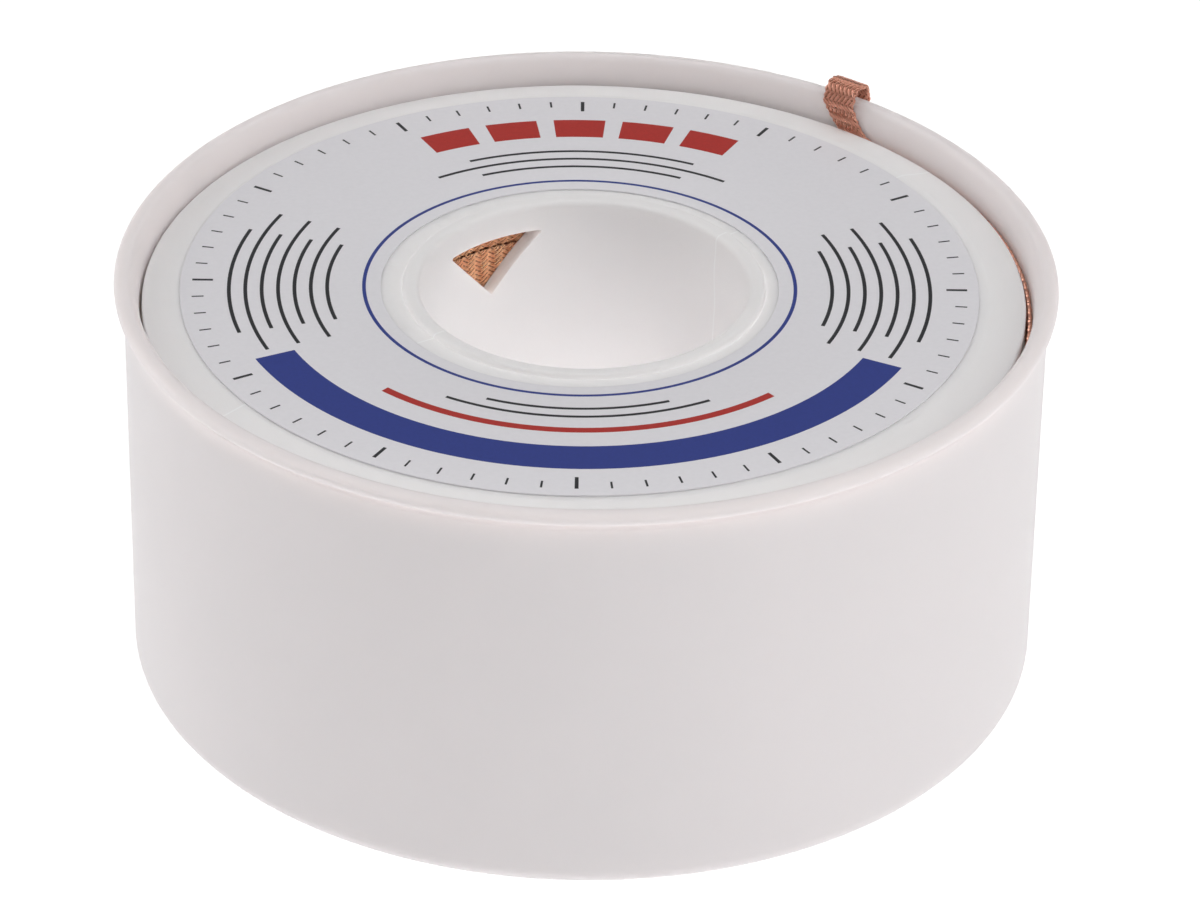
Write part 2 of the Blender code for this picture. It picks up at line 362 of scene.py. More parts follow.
def printing_ink(name, colour):
    """Flexographic ink, printed: flat colour with the faint mottle of a thin film."""
    material, shader, tree = new_material(name)
    place = add_node(tree, "ShaderNodeTexCoord").outputs["Object"]
    # The mottle of the ink film is a fifth of a millimetre across
    mottle = noise(tree, place, 0.2 * MM)
    tone = blend(tree, mottle, srgb(colour), srgb(shade(colour, 0.88)))
    tree.links.new(tone, shader.inputs["Base Color"])
    shader.inputs["Roughness"].default_value = 0.38
    shader.inputs["IOR"].default_value = 1.5
    return material


def drawn_copper(name, bright, dull):
    """Copper, drawn to fine wire and plaited: warm metal, darker in patches where flux lies."""
    material, shader, tree = new_material(name)
    place = add_node(tree, "ShaderNodeTexCoord").outputs["Object"]
    # Flux and tarnish lie in patches some 0.7 mm across
    patches = noise(tree, place, 0.7 * MM, 3.0)
    tone = blend(tree, patches, srgb(bright), srgb(dull))
    gloss = add_node(
        tree, "ShaderNodeMapRange", {"Value": patches, "To Min": 0.2, "To Max": 0.38}
    )
    tree.links.new(tone, shader.inputs["Base Color"])
    tree.links.new(gloss.outputs["Result"], shader.inputs["Roughness"])
    shader.inputs["Metallic"].default_value = 1.0
    return material


def dried_flux(name, colour):
    """Rosin flux, soaked in and dried: an amber film that fills the low places of the plait."""
    material, shader, tree = new_material(name)
    place = add_node(tree, "ShaderNodeTexCoord").outputs["Object"]
    # The film is thicker and thinner in patches some 0.4 mm across
    patches = noise(tree, place, 0.4 * MM)
    tone = blend(tree, patches, srgb(colour), srgb(shade(colour, 0.7)))
    tree.links.new(tone, shader.inputs["Base Color"])
    shader.inputs["Roughness"].default_value = 0.35
    shader.inputs["IOR"].default_value = 1.54
    return material


def wound_copper(name, bright, dull, turn):
    """Copper braid, wound flat: drawn wire, with the plait drawn as crossed ridges."""
    material = drawn_copper(name, bright, dull)
    tree = material.node_tree
    shader = tree.nodes["Principled BSDF"]
    place = add_node(tree, "ShaderNodeTexCoord").outputs["Object"]
    split = add_node(tree, "ShaderNodeSeparateXYZ", {"Vector": place})
    round_hub = maths(tree, "ARCTAN2", split.outputs["Y"], split.outputs["X"])
    # One radian round the winding's outside is the winding's radius long
    along = maths(tree, "MULTIPLY", round_hub, turn)
    flat = add_node(tree, "ShaderNodeCombineXYZ", {"X": along, "Y": split.outputs["Z"]})
    heights = []
    for lean in (1, -1):
        turned_way = add_node(
            tree,
            "ShaderNodeMapping",
            {"Vector": flat.outputs[0], "Rotation": (0, 0, lean * math.radians(60))},
        )
        ridges = add_node(
            tree,
            "ShaderNodeTexWave",
            {"Vector": turned_way.outputs[0], "Scale": 1 / (math.pi * RIDGE_STEP)},
        )
        heights.append(ridges.outputs["Fac"])
    plait = maths(tree, "MAXIMUM", *heights)
    bump = add_node(
        tree, "ShaderNodeBump", {"Height": plait, "Strength": 0.8, "Distance": 0.08 * MM}
    )
    tree.links.new(bump.outputs["Normal"], shader.inputs["Normal"])
    return material


def opal_acrylic(name, colour, glow, lamp):
    """Opal acrylic, cast and matt, lit from below: the even white table that takes shadows away.
    Its lamp stands under the reel, so the light that comes up through the hub is the strongest."""
    material, shader, tree = new_material(name)
    place = add_node(tree, "ShaderNodeTexCoord").outputs["Object"]
    # The matt face's tooth is half a millimetre across
    tooth = noise(tree, place, 0.5 * MM)
    tone = blend(tree, tooth, srgb(colour), srgb(shade(colour, 0.98)))
    tree.links.new(tone, shader.inputs["Base Color"])
    shader.inputs["Roughness"].default_value = 0.9
    shader.inputs["Specular IOR Level"].default_value = 0.1
    shader.inputs["Emission Color"].default_value = srgb("FFFFFF")
    off_axis = add_node(tree, "ShaderNodeVectorMath", {0: place}, operation="LENGTH")
    spread = add_node(
        tree,
        "ShaderNodeMapRange",
        {
            "Value": off_axis.outputs["Value"],
            "From Min": 10 * MM,
            "From Max": 29 * MM,
            "To Min": glow + lamp,
            "To Max": glow,
        },
        interpolation_type="SMOOTHSTEP",
    )
    tree.links.new(spread.outputs["Result"], shader.inputs["Emission Strength"])
    return material


# Outlines and turned pieces


def ellipse(centre, radii, start, end, steps=CORNER_STEPS):
    """Points on an ellipse about centre, from the angle start to the angle end, in degrees."""
    points = []
    for i in range(steps + 1):
        angle = math.radians(start + (end - start) * i / steps)
        across = centre[0] + radii[0] * math.cos(angle)
        points.append((across, centre[1] + radii[1] * math.sin(angle)))
    return points


def rounded(corners, steps=CORNER_STEPS):
    """A closed outline of (x, y, rounding) corners, each made an arc of its rounding's radius."""
    outline = []
    for i, (x, y, radius) in enumerate(corners):
        here = Vector((x, y))
        to_last = (Vector(corners[i - 1][:2]) - here).normalized()
        to_next = (Vector(corners[(i + 1) % len(corners)][:2]) - here).normalized()
        if not radius:
            outline.append((x, y))
            continue
        half = to_last.angle(to_next) / 2
        reach = radius / math.tan(half)
        centre = here + (to_last + to_next).normalized() * radius / math.sin(half)
        first = here + to_last * reach - centre
        last = here + to_next * reach - centre
        sweep = first.angle_signed(last)
        for step in range(steps + 1):
            turn = -sweep * step / steps
            spoke = Matrix.Rotation(turn, 2) @ first
            outline.append(tuple(centre + spoke))
    return outline


def finish_piece(obj, material, body, node=None):
    """Gives a piece its material and body, and hides the CAD node that it replaces."""
    obj.data.materials.clear()
    obj.data.materials.append(material)
    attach(obj, body)
    if node:
        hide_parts(node)


def join_rings(shape, rings):
    """Adds the faces between rings of corners, and one at each end, with all faces outward."""
    for one, other in zip(rings, rings[1:]):
        for k in range(len(one)):
            shape.faces.new((one[k - 1], one[k], other[k], other[k - 1]))
    shape.faces.new(rings[0])
    shape.faces.new(rings[-1][::-1])
    bmesh.ops.recalc_face_normals(shape, faces=shape.faces)


def mesh_object(name, shape, location=(0, 0, 0)):
    """A smooth-shaded object made of a bmesh, which is freed."""
    mesh = bpy.data.meshes.new(name)
    shape.to_mesh(mesh)
    shape.free()
    mesh.shade_smooth()
    mesh.set_sharp_from_angle(angle=SHARP_ANGLE)
    obj = bpy.data.objects.new(name, mesh)
    obj.location = location
    bpy.context.scene.collection.objects.link(obj)
    return obj


def turned(name, outline, location=(0, 0, 0)):
    """A closed outline of (radius, height) points, turned once round Z."""
    shape = bmesh.new()
    line = [shape.verts.new((r, 0, z)) for r, z in outline]
    edges = [shape.edges.new((line[i - 1], line[i])) for i in range(len(line))]
    bmesh.ops.spin(
        shape,
        geom=line + edges,
        cent=(0, 0, 0),
        axis=(0, 0, 1),
        angle=math.tau,
        steps=TURN_STEPS,
        use_merge=True,
    )
    bmesh.ops.recalc_face_normals(shape, faces=shape.faces)
    return mesh_object(name, shape, location)


def cut(obj, cutter):
    """Takes the cutter out of the piece, and removes the cutter."""
    boolean = obj.modifiers.new("Cut", "BOOLEAN")
    boolean.operation = "DIFFERENCE"
    boolean.object = cutter
    graph = bpy.context.evaluated_depsgraph_get()
    mesh = bpy.data.meshes.new_from_object(obj.evaluated_get(graph))
    obj.modifiers.clear()
    obj.data = mesh
    mesh.shade_smooth()
    mesh.set_sharp_from_angle(angle=SHARP_ANGLE)
    bpy.data.objects.remove(cutter)


# The case and the spool


def case_outline(case):
    """The cup, from the rim's crest down the outside, under the floor and up the inside."""
    crest_radius = case.rim_radius - case.crest_inset
    edge_z = case.height - case.edge_drop
    neck_radius = case.wall_radius - case.neck
    underside = case.underside_drop - case.edge_drop
    base = case.wall_radius - case.draft
    hole = case.collar_radius - case.collar_wall
    inside = case.wall_radius - case.wall
    inner_base = inside - case.draft
    inner_fillet = case.base_fillet - case.wall
    outline = ellipse((crest_radius, edge_z), (case.crest_inset, case.edge_drop), 90, 0)
    outline += ellipse((neck_radius, edge_z), (case.rim_radius - neck_radius, underside), -12, -90)
    neck_end = edge_z - underside - case.neck_height
    outline += ellipse((neck_radius, neck_end), (case.neck, case.neck_height / 2), 75, 0, 4)
    outline += ellipse((base - case.base_fillet, case.base_fillet), (case.base_fillet,) * 2, 0, -90)
    outline += [(hole, 0), (hole, case.collar_height), (case.collar_radius, case.collar_height)]
    outline += [(case.collar_radius, case.floor)]
    corner = (inner_base - inner_fillet, case.floor + inner_fillet)
    outline += ellipse(corner, (inner_fillet,) * 2, -90, 0)
    slope = (crest_radius - inside, case.inner_drop)
    outline += ellipse((crest_radius, case.height - case.inner_drop), slope, 180, 96)
    return outline


def spool_outline(spool):
    """The hub and its flanges, from the top flange's slope down the outside and up the bore."""
    top = SPOOL_HIGH.z
    bottom = SPOOL_LOW.z
    underside = top - spool.flange_thickness
    hub = spool.bore_radius + spool.hub_wall
    edge_top = top - spool.edge_drop
    lower_top = bottom + spool.lower_thickness
    return rounded(
        [
            (spool.flange_radius - spool.slope_width, top, 1.2 * MM),
            (spool.flange_radius, edge_top, spool.edge_round),
            (spool.flange_radius, underside, 0.15 * MM),
            (hub, underside, 0.1 * MM),
            (hub, lower_top, 0.1 * MM),
            (spool.lower_radius, lower_top, 0.2 * MM),
            (spool.lower_radius, bottom, 0.2 * MM),
            (spool.bore_radius, bottom, 0.2 * MM),
            (spool.bore_radius, top + spool.bead_height, spool.bead_height + spool.bore_fillet),
            (spool.bead_radius, top + spool.bead_height, spool.bead_height),
            (spool.bead_radius, top, 0),
        ]
    )


def window_cutter(spool):
    """A prism with rounded corners that points down, for the window through the hub's wall."""
    half = spool.window_width / 2
    triangle = [
        (-half, 0, spool.window_corner),
        (half, 0, spool.window_corner),
        (0, -spool.window_height, spool.window_corner),
    ]
    shape = bmesh.new()
    verts = [shape.verts.new((x, 0, z)) for x, z in rounded(triangle, 4)]
    face = shape.faces.new(verts)
    depth = spool.bore_radius
    out = bmesh.ops.extrude_face_region(shape, geom=[face])["geom"]
    moved = [v for v in out if isinstance(v, bmesh.types.BMVert)]
    bmesh.ops.translate(shape, verts=moved, vec=(0, depth, 0))
    bmesh.ops.recalc_face_normals(shape, faces=shape.faces)
    middle = spool.bore_radius + spool.hub_wall / 2 - depth / 2
    turn = spool.window_angle
    top = SPOOL_HIGH.z - spool.flange_thickness - spool.window_drop
    place = Vector((SPOOL_X + middle * math.cos(turn), middle * math.sin(turn), top))
    cutter = mesh_object("window_cutter", shape, place)
    cutter.rotation_euler = (0, 0, turn - math.pi / 2)
    return cutter


class BRAIDREEL_OT_case(bpy.types.Operator):
    """Build the beaded white case"""

    bl_idname = "braidreel.case"
    bl_label = "Case"

    def execute(self, context):
        case = settings("case")
        shell = turned("case_shell", case_outline(case))
        material = moulded_polypropylene(
            "moulded_polypropylene_case", case.colour, CASE_ROUGHNESS, case.light_reach
        )
        finish_piece(shell, material, "holder", "case")
        return {"FINISHED"}


class BRAIDREEL_OT_spool(bpy.types.Operator):
    """Build the flanged spool with the window through its hub"""

    bl_idname = "braidreel.spool"
    bl_label = "Spool"

    def execute(self, context):
        spool = settings("spool")
        body = turned("spool_body", spool_outline(spool), (SPOOL_X, 0, 0))
        cut(body, window_cutter(spool))
        name = "moulded_polypropylene_spool"
        material = moulded_polypropylene(
            name, spool.colour, SPOOL_ROUGHNESS, spool.light_reach, WELD_TURN
        )
        finish_piece(body, material, "reel", "spool")
        return {"FINISHED"}


# The label


# Sectors of print: inner and outer radius in millimetres, start and end angle in degrees
BAND = [(20.9, 23.7, 206, 334)]
INNER_LINE = [(14.4, 14.65, 0, 360)]
ACCENTS = [(20.9, 23.4, a, a + 9) for a in (62, 74, 86, 98, 110)] + [(18.6, 19.2, 228, 312)]
# Groups of ruled lines: middle angle and half spread in degrees, and radii in millimetres
SIDE_RADII = (17.0, 18.1, 19.2, 20.3, 21.4, 22.5, 23.6)
RULES = (
    (0, 24, SIDE_RADII),
    (180, 24, SIDE_RADII),
    (90, 34, (16.6, 17.7, 18.8)),
    (270, 30, (16.2, 17.2)),
)
RULE_HALF = 0.13
SECTOR_STEP = 1.5


def ring_sector(shape, inner, outer, start, end, low, high):
    """Adds a flat block between two radii and two angles, in degrees, to a bmesh."""
    steps = max(2, round(abs(end - start) / SECTOR_STEP))
    rows = []
    for i in range(steps + 1):
        angle = math.radians(start + (end - start) * i / steps)
        side = Vector((math.cos(angle), math.sin(angle), 0))
        corners = ((inner, low), (outer, low), (outer, high), (inner, high))
        rows.append([shape.verts.new(side * r + Vector((0, 0, z))) for r, z in corners])
    join_rings(shape, rows)


def print_piece(name, sectors, material):
    """One ink piece of sectors, each an inner and outer radius in millimetres and a start and
    end angle in degrees."""
    shape = bmesh.new()
    low = LABEL_HIGH.z - settings("label").ink_height / 2
    high = low + settings("label").ink_height
    for inner, outer, start, end in sectors:
        ring_sector(shape, inner * MM, outer * MM, start, end, low, high)
    piece = mesh_object(name, shape, (LABEL_X, 0, 0))
    finish_piece(piece, material, "reel")


def scale_marks():
    """A dial's marks round the label's edge: a short mark each 5 degrees and a long one each 30."""
    marks = []
    for angle in range(0, 360, 5):
        is_long = angle % 30 == 0
        half = 0.28 if is_long else 0.16
        marks.append((24.7 if is_long else 25.3, 26.1, angle - half, angle + half))
    return marks


def rules(middle, spread, radii):
    """Fine ruled lines about a middle angle, each shorter or longer than the last."""
    lines = []
    for i, radius in enumerate(radii):
        reach = spread * (1.0 if i % 2 else 0.72)
        lines.append((radius - RULE_HALF, radius + RULE_HALF, middle - reach, middle + reach))
    return lines


class BRAIDREEL_OT_label(bpy.types.Operator):
    """Build the label ring and its plain printed bands, marks and rules"""

    bl_idname = "braidreel.label"
    bl_label = "Label"

    def execute(self, context):
        label = settings("label")
        low, high = LABEL_LOW.z, LABEL_HIGH.z
        edge = 0.03 * MM
        ring = turned(
            "label_ring",
            rounded(
                [
                    (label.outer_radius, high, edge),
                    (label.outer_radius, low, 0),
                    (label.inner_radius, low, 0),
                    (label.inner_radius, high, edge),
                ],
                3,
            ),
            (LABEL_X, 0, 0),
        )
        stock = coated_label_paper("coated_label_paper", label.stock_colour)
        finish_piece(ring, stock, "reel", "label")
        blue = printing_ink("blue_flexographic_ink", label.blue)
        red = printing_ink("red_flexographic_ink", label.red)
        black = printing_ink("black_flexographic_ink", label.black)
        print_piece("label_band", BAND, blue)
        print_piece("label_inner_line", INNER_LINE, blue)
        print_piece("label_accents", ACCENTS, red)
        fine = scale_marks()
        for middle, spread, radii in RULES:
            fine += rules(middle, spread, radii)
        print_piece("label_fine_rules", fine, black)
        return {"FINISHED"}


# The plaited copper


# The seam between the first two turns that the window shows
WINDOW_SEAM = 24.6 * MM
# Those turns, from the top: distance from the hub, and half the angle that is modelled
WINDOW_TURNS = ((0.30 * MM, 21), (0.19 * MM, 20), (0.28 * MM, 8))
# How much narrower than its room a turn is, so that a seam shows
TURN_ROOM = 0.1 * MM
# Angles round the case where the loose end leaves the winding, turns up, passes the gap and
# crosses the rim
TAIL_TURNS = (-75, 28, 51.3, 54)
# Top edge of its run over the flange's underside, and how far the run climbs to there
RUN_OVER = 0.35 * MM
RUN_CLIMB = 8.2 * MM
# The plaited length that is seen, and how it is narrowed, frayed at the tip and pinched in the
# gap. Its outermost wires stand off the flat tube's edges, hence the narrowing.
SEEN_LENGTH = 9.5 * MM
SEEN_NARROWER = 0.2 * MM
SEEN_FRAY = 0.15 * MM
SEEN_PINCH = 0.1
# Rows along the run, up the leg and over the hook, and points between two rows
RUN_ROWS = 14
LEG_ROWS = 5
HOOK_ROWS = 10
ROW_STEPS = 8
# Steps along a turn at the window
TURN_POINTS = 40
# How unevenly strands are pulled, as a share of their lift, and wires lie, of their pitch
STRAND_UNEVEN = 0.1
WIRE_UNEVEN = 0.08


def eased(share):
    """A share from 0 to 1 that leaves 0 and reaches 1 slowly."""
    return share * share * (3 - 2 * share)


def over_or_under(phase):
    """A strand's height, 1 over to -1 under, as it goes over two strands and then under two."""
    return max(-1.0, min(1.0, 1.15 * math.sin(phase * math.pi / 2)))


def section_point(girth, width, half_depth):
    """A point on the flattened tube that the strands lie in, and its outward direction, by its
    distance round the tube from the middle of one face's left edge."""
    flat = width - 2 * half_depth
    turn = math.pi * half_depth
    girth %= 2 * (flat + turn)
    side = 1
    if girth >= flat + turn:
        girth -= flat + turn
        side = -1
    if girth < flat:
        return Vector((side * (girth - flat / 2), side * half_depth)), Vector((0, side))
    angle = (girth - flat) / half_depth
    out = Vector((math.sin(angle), math.cos(angle))) * side
    return Vector((side * flat / 2, 0)) + out * half_depth, out


class Track:
    """A smooth line in space with the braid's width direction at each point, read by distance."""

    def __init__(self, points, sides):
        self.points = points
        self.sides = sides
        self.marks = [0.0]
        for a, b in zip(points, points[1:]):
            self.marks.append(self.marks[-1] + (b - a).length)
        self.length = self.marks[-1]

    def at(self, distance):
        """The point, the width direction and the outward direction at a distance along."""
        distance = max(0.0, min(self.length, distance))
        low, high = 0, len(self.marks) - 1
        while high - low > 1:
            i = (low + high) // 2
            if self.marks[i] <= distance:
                low = i
            else:
                high = i
        share = (distance - self.marks[low]) / (self.marks[low + 1] - self.marks[low])
        point = self.points[low].lerp(self.points[low + 1], share)
        side = self.sides[low].lerp(self.sides[low + 1], share).normalized()
        along = (self.points[low + 1] - self.points[low]).normalized()
        return point, side, side.cross(along).normalized()


def plait_sizes(copper, width):
    """The girth of the flat tube, the strands in it that run one way, the room of one strand, and
    a strand's length on top."""
    ends = 2 * (math.pi - 2) * copper.tube_half
    girth = 2 * width + ends
    strands = round(copper.strands * girth / (2 * copper.width + ends))
    spacing = girth / strands
    return girth, strands, spacing, spacing / math.tan(copper.angle)


def plaited_wires(track, copper, width, start, end, front_only=False, fray=0.0, pinch=0.0):
    """The lines of all the braid's wires between two distances along a track. A pinch is the
    share by which the braid is narrower at its start."""
    girth, strands, spacing, top_length = plait_sizes(copper, width)
    slope = math.tan(copper.angle)
    count = max(2, math.ceil((end - start) / top_length * POINTS_ON_TOP))
    dice = random.Random(7)
    middle = (copper.wires - 1) / 2
    lines = []
    for way in (1, -1):
        for strand in range(strands):
            first = (strand + (0 if way > 0 else 0.5)) * spacing
            pull = dice.uniform(-STRAND_UNEVEN, STRAND_UNEVEN) * copper.lift
            for wire in range(copper.wires):
                aside = (wire - middle) * copper.wire_pitch / math.cos(copper.angle)
                aside += dice.uniform(-WIRE_UNEVEN, WIRE_UNEVEN) * copper.wire_pitch
                crown = copper.crown * (1 - ((wire - middle) / middle) ** 2)
                tip = end + dice.uniform(-fray, fray)
                splay = dice.uniform(-1, 1) * fray
                line = []
                for i in range(count + 1):
                    s = start + (tip - start) * i / count
                    over = way * over_or_under(2 * s / top_length)
                    girth_place = first + way * s * slope + aside
                    spot, out = section_point(girth_place, width, copper.tube_half)
                    if front_only and out.y < 0.2:
                        if len(line) > 1:
                            lines.append(line)
                        line = []
                        continue
                    spot = spot + out * (over * copper.lift + crown + pull)
                    point, side, face = track.at(s)
                    loose = max(0.0, (s - (end - 3 * fray)) / (3 * fray)) if fray else 0.0
                    spread = splay * loose * loose
                    across = spot.x * (1 - pinch * eased((tip - s) / (tip - start))) + spread
                    line.append(point + side * across + face * (spot.y + spread * 0.6))
                if len(line) > 1:
                    lines.append(line)
    return lines


def wires_object(name, lines, radius):
    """One curve object that holds each line as a round wire."""
    curve = bpy.data.curves.new(name, "CURVE")
    curve.dimensions = "3D"
    curve.bevel_depth = radius
    curve.bevel_resolution = 1
    curve.use_fill_caps = True
    for line in lines:
        spline = curve.splines.new("POLY")
        spline.points.add(len(line) - 1)
        spline.points.foreach_set("co", [c for p in line for c in (*p, 1.0)])
        spline.use_smooth = True
    obj = bpy.data.objects.new(name, curve)
    bpy.context.scene.collection.objects.link(obj)
    return obj


def plaited_strip(name, track, copper, start, end):
    """A closed strip that follows a track, with both faces raised in the plait's pattern."""
    girth, strands, spacing, top_length = plait_sizes(copper, copper.width)
    slope = math.tan(copper.angle)
    around = 6 * strands
    count = math.ceil((end - start) / top_length * POINTS_ON_STRIP)
    shape = bmesh.new()
    rings = []
    for i in range(count + 1):
        s = start + (end - start) * i / count
        point, side, face = track.at(s)
        over = over_or_under(2 * s / top_length)
        ring = []
        for k in range(around):
            u = girth * k / around
            spot, out = section_point(u, copper.width, copper.tube_half)
            if over > 0:
                ridge = math.cos(math.tau * (u - s * slope) / spacing)
            else:
                ridge = -math.cos(math.tau * (u + s * slope) / spacing)
            height = copper.wire_radius + copper.lift * abs(over) + copper.crown / 2 * ridge
            spot = spot + out * height
            ring.append(shape.verts.new(point + side * spot.x + face * spot.y))
        rings.append(ring)
    join_rings(shape, rings)
    return mesh_object(name, shape)


def flux_film(shape, track, copper, width, start, end, pinch=0.0):
    """Adds a closed flat tube to a bmesh, as high as the flux between a braid's strands."""
    half = copper.tube_half + copper.flux_level
    count = math.ceil((end - start) / FILM_STEP)
    girth = 2 * (width - 2 * half) + 2 * math.pi * half
    rings = []
    for i in range(count + 1):
        s = start + (end - start) * i / count
        point, side, face = track.at(s)
        share = 1 - pinch * eased(1 - i / count)
        ring = []
        for k in range(FILM_CORNERS):
            spot, out = section_point(girth * k / FILM_CORNERS, width, half)
            ring.append(shape.verts.new(point + side * spot.x * share + face * spot.y))
        rings.append(ring)
    join_rings(shape, rings)


def smooth_line(points, steps):
    """Points on a smooth line through the given vectors, with a number of steps between two."""
    line = []
    for i in range(len(points) - 1):
        before = points[max(i - 1, 0)]
        after = points[min(i + 2, len(points) - 1)]
        a, b = points[i], points[i + 1]
        for step in range(steps):
            t = step / steps
            spot = a * 2 + (b - before) * t
            spot = spot + (before * 2 - a * 5 + b * 4 - after) * t * t
            spot = spot + (a * 3 - before - b * 3 + after) * t * t * t
            line.append(spot * 0.5)
    return line + [points[-1]]


def tail_track(case, copper):
    """The loose end's middle line: round the wall under the flange, up through the gap at a
    lean, over the rim and down outside it."""
    half = copper.tube_half + copper.lift + copper.crown + copper.wire_radius
    clear = 0.01 * MM
    wall_line = case.wall_radius - case.wall - clear - half
    winding_line = copper.winding_radius + 0.2 * MM + half
    outer_line = case.rim_radius + clear + half
    underside = SPOOL_HIGH.z - settings("spool").flange_thickness
    run_height = underside - copper.width / 2 + RUN_OVER
    leave, turn_up, gap, top = (math.radians(a) for a in TAIL_TURNS)
    rows = []
    for i in range(RUN_ROWS):
        share = i / RUN_ROWS
        lead = (turn_up - leave) * share
        off_winding = winding_line < wall_line * math.cos(lead)
        radius = winding_line / math.cos(lead) if off_winding else wall_line
        rows.append((radius, run_height - RUN_CLIMB * (1 - share) ** 3, leave + lead, 90))
    rise = case.height - case.inner_drop - run_height
    for i in range(LEG_ROWS + 1):
        share = i / LEG_ROWS
        turn = turn_up + (gap - turn_up) * share
        rows.append((wall_line, run_height + rise * share**2, turn, 90 * (1 - share)))
    loop = (outer_line - wall_line - 0.2 * MM) / 2
    centre = (outer_line - loop, case.height + 0.04 * MM)
    rows.append((centre[0] - loop, case.height - case.edge_drop, top, 0))
    rows += [(r, z, top, 0) for r, z in ellipse(centre, (loop, loop), 180, 0, HOOK_ROWS)]
    rows.append((outer_line, case.height - case.edge_drop - 0.9 * MM, top, 0))
    smooth = smooth_line([Vector(row) for row in rows], ROW_STEPS)
    points = []
    sides = []
    for r, z, turn, tilt in smooth:
        points.append(Vector((r * math.cos(turn), r * math.sin(turn), z)))
        lean = math.radians(tilt)
        level = Vector((-math.sin(turn), math.cos(turn), 0)) * math.cos(lean)
        sides.append(level - Vector((0, 0, math.sin(lean))))
    return Track(points, sides)


def window_track(radius, height, middle, spread):
    """A turn of the innermost layer where it passes the window, seen from inside the hub."""
    points = []
    sides = []
    for i in range(TURN_POINTS + 1):
        turn = middle + spread * (2 * i / TURN_POINTS - 1)
        spot = Vector((SPOOL_X + radius * math.cos(turn), radius * math.sin(turn), height))
        points.append(spot)
        sides.append(Vector((0, 0, 1)))
    return Track(points, sides)


class BRAIDREEL_OT_winding(bpy.types.Operator):
    """Build the wound braid, with its plait modelled where the hub's window shows it"""

    bl_idname = "braidreel.winding"
    bl_label = "Winding"

    def execute(self, context):
        copper = settings("copper")
        spool = settings("spool")
        top, bottom = WINDING_HIGH.z, WINDING_LOW.z
        turns = round((top - bottom) / copper.width)
        pitch = (top - bottom) / turns
        inner = spool.bore_radius + spool.hub_wall + 0.6 * MM
        radius = copper.winding_radius - copper.groove
        outline = []
        for turn in range(turns):
            middle = top - (turn + 0.5) * pitch
            outline += ellipse((radius, middle), (copper.groove, pitch / 2), 84, -84, 8)
        outline += [(inner, bottom), (inner, top)]
        body = turned("braid_winding_body", outline, (SPOOL_X, 0, 0))
        material = wound_copper(
            "wound_copper_braid", copper.bright, copper.dull, copper.winding_radius
        )
        finish_piece(body, material, "reel", "braid_winding")
        # The turns at the window take the lighter copy of the copper, a painted highlight.
        wire = drawn_copper("drawn_copper_window_painted_highlight", copper.window_highlight_copper, copper.window_dull_highlight_copper)
        hub = spool.bore_radius + spool.hub_wall
        edge = top
        lines = []
        film = bmesh.new()
        width = top - WINDOW_SEAM
        for off_hub, spread in WINDOW_TURNS:
            track = window_track(
                hub + off_hub, edge - width / 2, spool.window_angle, math.radians(spread)
            )
            lines += plaited_wires(track, copper, width - TURN_ROOM, 0, track.length, True)
            flux_film(film, track, copper, width - TURN_ROOM, 0, track.length)
            edge -= width
            width = copper.width
        turns_seen = wires_object("braid_turns_at_window", lines, copper.wire_radius)
        finish_piece(turns_seen, wire, "reel")
        flux = dried_flux("dried_rosin_flux_window", copper.flux)
        finish_piece(mesh_object("flux_at_window", film), flux, "reel")
        return {"FINISHED"}


class BRAIDREEL_OT_tail(bpy.types.Operator):
    """Plait the loose end that hooks over the rim"""

    bl_idname = "braidreel.tail"
    bl_label = "Loose end"

    def execute(self, context):
        copper = settings("copper")
        track = tail_track(settings("case"), copper)
        start = track.length - SEEN_LENGTH
        width = copper.width - SEEN_NARROWER
        lines = plaited_wires(
            track, copper, width, start, track.length, fray=SEEN_FRAY, pinch=SEEN_PINCH
        )
        tail = wires_object("braid_tail_wires", lines, copper.wire_radius)
        film = bmesh.new()
        flux_film(film, track, copper, width, start, track.length - 0.3 * MM, SEEN_PINCH)
        flux = dried_flux("dried_rosin_flux_tail", copper.flux)
        finish_piece(mesh_object("braid_tail_flux", film), flux, "holder")
        run = plaited_strip("braid_run", track, copper, 0, start + 0.5 * MM)
        wound = drawn_copper("drawn_copper_run", copper.bright, copper.dull)
        finish_piece(run, wound, "holder", "braid_tail")
        material = drawn_copper("drawn_copper_tail", copper.bright, copper.dull)
        finish_piece(tail, material, "holder", "braid_tail")
        return {"FINISHED"}


# The studio


# What the camera looks at, near the case's axis and under the rim
CAMERA_AIM = Vector((1.07, -6.1, 18.085)) * MM
# The soft boxes: name, place, edge length and power in watts
SOFT_BOXES = (
    ("soft_box_right", (0.5, -0.1, 0.4), 0.5, 1.2),
    ("soft_box_left", (-0.5, 0.2, 0.3), 0.4, 1.15),
    ("soft_box_above", (0.1, -0.45, 0.6), 0.4, 1.05),
    ("soft_box_behind", (0, 0.3, 0.7), 0.5, 1.25),
)


def aim(obj, target, roll=0.0):
    """Turns a camera or a light to look at a point, then rolls it."""
    look = (target - obj.location).to_track_quat("-Z", "Y")
    obj.rotation_mode = "QUATERNION"
    obj.rotation_quaternion = look @ Quaternion((0, 0, 1), roll)


def soft_light(name, place, size, power):
    """A square soft box that looks at the reel."""
    data = bpy.data.lights.new(name, "AREA")
    data.shape = "SQUARE"
    data.size = size
    data.energy = power
    light = bpy.data.objects.new(name, data)
    light.location = place
    bpy.context.scene.collection.objects.link(light)
    aim(light, Vector((0, 0, CASE_HIGH.z / 2)))


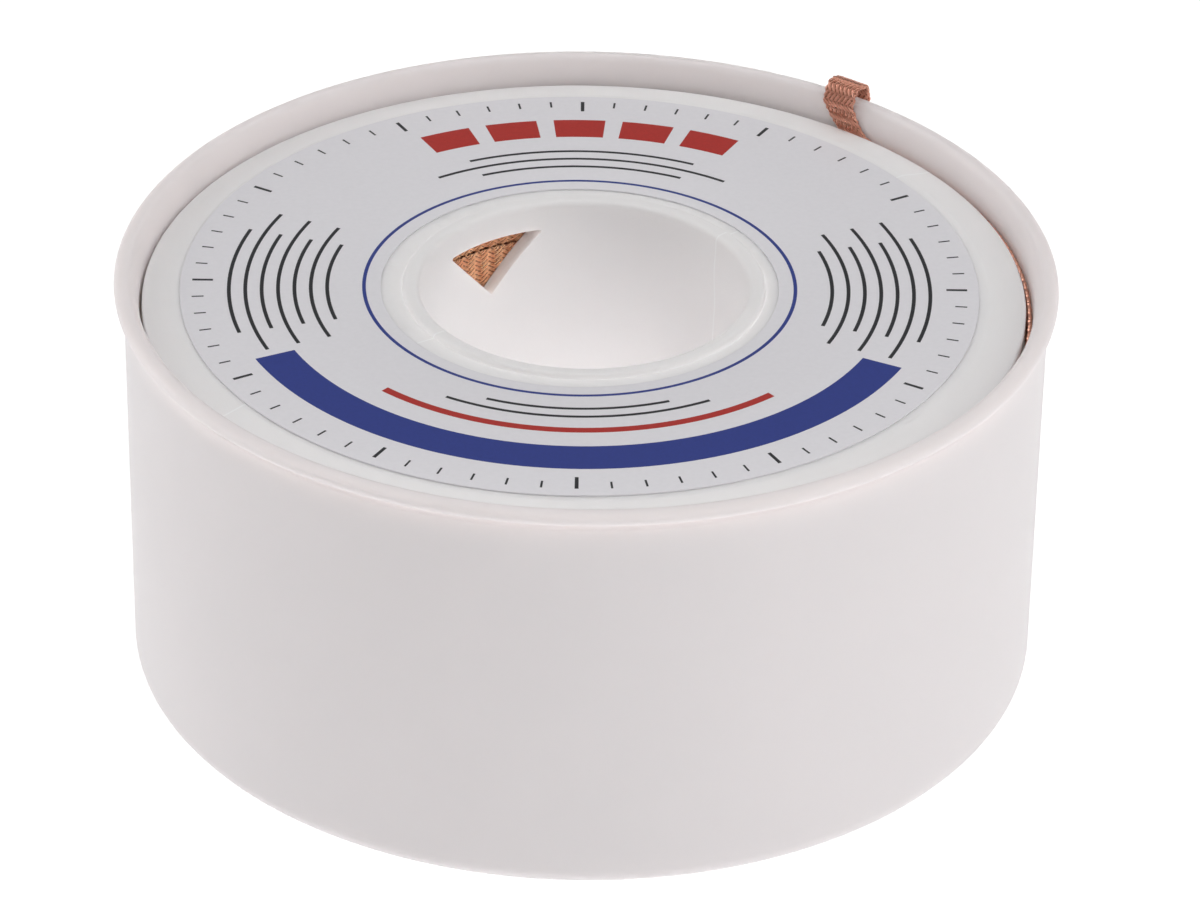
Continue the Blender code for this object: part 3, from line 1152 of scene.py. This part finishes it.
def make_camera(studio):
    """The camera at the photograph's angle, aimed a little below the rim's centre."""
    data = bpy.data.cameras.new("camera")
    data.lens = studio.lens / MM
    data.sensor_width = 36
    data.clip_start = 0.01
    camera = bpy.data.objects.new("camera", data)
    rim_centre = Vector((0, 0, CASE_HIGH.z - settings("case").edge_drop))
    back = Vector((0, -math.cos(studio.elevation), math.sin(studio.elevation)))
    camera.location = rim_centre + back * studio.distance
    bpy.context.scene.collection.objects.link(camera)
    aim(camera, CAMERA_AIM, studio.roll)
    bpy.context.scene.camera = camera


class BRAIDREEL_OT_studio(bpy.types.Operator):
    """Set out the pale floor, the soft light and the camera"""

    bl_idname = "braidreel.studio"
    bl_label = "Studio"

    def execute(self, context):
        studio = settings("studio")
        shape = bmesh.new()
        bmesh.ops.create_grid(shape, x_segments=8, y_segments=8, size=3.0)
        floor = mesh_object("studio_floor", shape)
        table = opal_acrylic(
            "opal_acrylic_table", studio.floor_colour, studio.table, studio.lamp
        )
        floor.data.materials.append(table)
        world = bpy.data.worlds.new("studio_surroundings")
        bpy.context.scene.world = world
        world.use_nodes = True
        sky = world.node_tree.nodes["Background"]
        sky.inputs["Color"].default_value = srgb("FFFFFF")
        sky.inputs["Strength"].default_value = studio.sky
        for box in SOFT_BOXES:
            soft_light(*box)
        make_camera(studio)
        context.scene.view_settings.view_transform = "Standard"
        return {"FINISHED"}


class BRAIDREEL_PT_pieces(bpy.types.Panel):
    """Lists the reel's pieces and their sizes"""

    bl_idname = "BRAIDREEL_PT_pieces"
    bl_label = "Braid Reel"
    bl_space_type = "VIEW_3D"
    bl_region_type = "UI"
    bl_category = "Braid Reel"

    def draw(self, context):
        layout = self.layout
        for operator in OPERATORS:
            layout.operator(operator.bl_idname)
        for name in GROUPS:
            box = layout.box()
            box.label(text=name.capitalize())
            group = settings(name)
            for key in group.__annotations__:
                box.prop(group, key)


GROUPS = {
    "case": BraidReelCase,
    "spool": BraidReelSpool,
    "label": BraidReelLabel,
    "copper": BraidReelCopper,
    "studio": BraidReelStudio,
}
OPERATORS = (
    BRAIDREEL_OT_case,
    BRAIDREEL_OT_spool,
    BRAIDREEL_OT_label,
    BRAIDREEL_OT_winding,
    BRAIDREEL_OT_tail,
    BRAIDREEL_OT_studio,
)


def register():
    for cls in (*GROUPS.values(), *OPERATORS, BRAIDREEL_PT_pieces):
        bpy.utils.register_class(cls)
    for name, group in GROUPS.items():
        setattr(bpy.types.Scene, "braid_reel_" + name, PointerProperty(type=group))


def unregister():
    for name in GROUPS:
        delattr(bpy.types.Scene, "braid_reel_" + name)
    for cls in (BRAIDREEL_PT_pieces, *reversed(OPERATORS), *reversed(GROUPS.values())):
        bpy.utils.unregister_class(cls)


def main():
    register()
    bpy.ops.braidreel.case()
    bpy.ops.braidreel.spool()
    bpy.ops.braidreel.label()
    bpy.ops.braidreel.winding()
    bpy.ops.braidreel.tail()
    bpy.ops.braidreel.studio()


if __name__ == "__main__":
    main()
